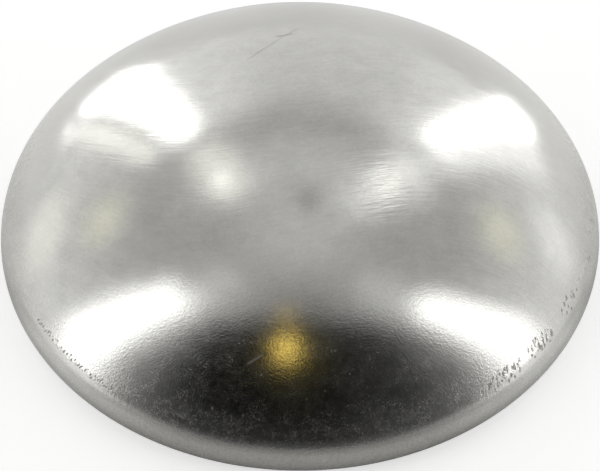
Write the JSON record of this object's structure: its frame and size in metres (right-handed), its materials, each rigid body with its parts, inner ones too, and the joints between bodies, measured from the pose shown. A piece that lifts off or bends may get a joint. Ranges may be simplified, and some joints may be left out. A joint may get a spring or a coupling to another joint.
{
  "type": "push-on axle cap",
  "caption": "Shallow domed metal cap with a rolled-under rim and a toothed spring retainer inside; pushed onto the end of a plain axle to hold a wheel on.",
  "frame": {"origin": "centre of the rim's footprint, on the plane the hem rests on", "axes": "+Z along the axle axis, from the open side towards the crown"},
  "size_m": [0.027, 0.027, 0.0082],
  "materials": {
    "dome": "polished plate, slightly hazy",
    "spring": "oiled spring steel"
  },
  "bodies": {
    "root": {"dome_cap": "dome", "push_nut": "spring"}
  },
  "joints": []
}
